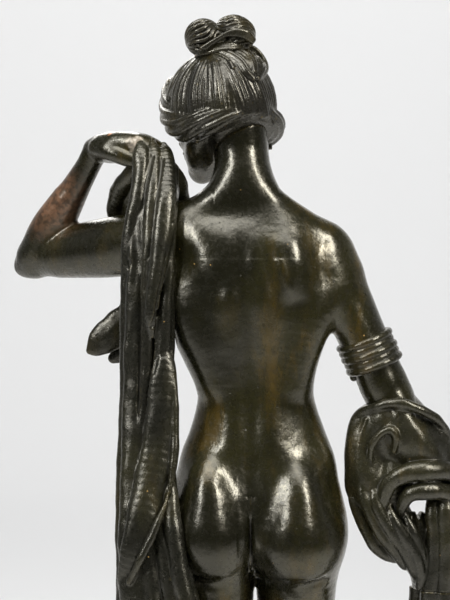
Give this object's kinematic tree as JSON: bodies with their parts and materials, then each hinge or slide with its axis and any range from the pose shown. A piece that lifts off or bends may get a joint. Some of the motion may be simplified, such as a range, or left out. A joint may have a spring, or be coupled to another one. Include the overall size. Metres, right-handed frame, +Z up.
{
  "type": "bronze statuette",
  "caption": "Patinated bronze statuette of a standing bather holding drapery, on a bronze ground and a turned marble plinth.",
  "frame": {"origin": "centre of the underside of the baize pad, on the axis of the round plinth", "axes": "+Z up along the standing figure, the figure's chest and feet face -Y, and +X is towards the figure's own left hand"},
  "size_m": [0.3053, 0.216, 0.6767],
  "materials": {
    "bronze_skin": "dark brown-olive patina, waxed gloss, fine casting pits, worn coppery patch on the left forearm",
    "bronze_hair": "dark patina, chased strands",
    "bronze_cloth": "dark patina, slightly greyer and less glossy than the skin",
    "bronze_ground": "dark patina, modelled ground",
    "marble": "polished dark green with pale veins",
    "brass_hardware": "bare machined",
    "steel_hardware": "zinc plated",
    "baize": "napped green felt"
  },
  "bodies": {
    "root": {"body_casting": "bronze_skin", "left_arm_casting": "bronze_skin", "right_forearm_casting": "bronze_skin", "armlet": "bronze_skin", "head_casting": "bronze_hair", "topknot_casting": "bronze_hair", "front_drapery": "bronze_cloth", "left_drapery_upper": "bronze_cloth", "left_drapery_lower": "bronze_cloth", "right_drapery_sleeve": "bronze_cloth", "right_drapery_fall": "bronze_cloth", "ground_casting": "bronze_ground", "marble_plinth": "marble", "neck_pin": "brass_hardware", "left_arm_pin": "brass_hardware", "right_arm_pin": "brass_hardware", "foot_screw_left": "brass_hardware", "foot_screw_right": "brass_hardware", "drapery_screw_left": "brass_hardware", "drapery_screw_right": "brass_hardware", "plinth_stud_left": "steel_hardware", "plinth_stud_right": "steel_hardware", "plinth_washer_left": "steel_hardware", "plinth_washer_right": "steel_hardware", "plinth_nut_left": "steel_hardware", "plinth_nut_right": "steel_hardware", "baize_pad": "baize"}
  },
  "joints": []
}
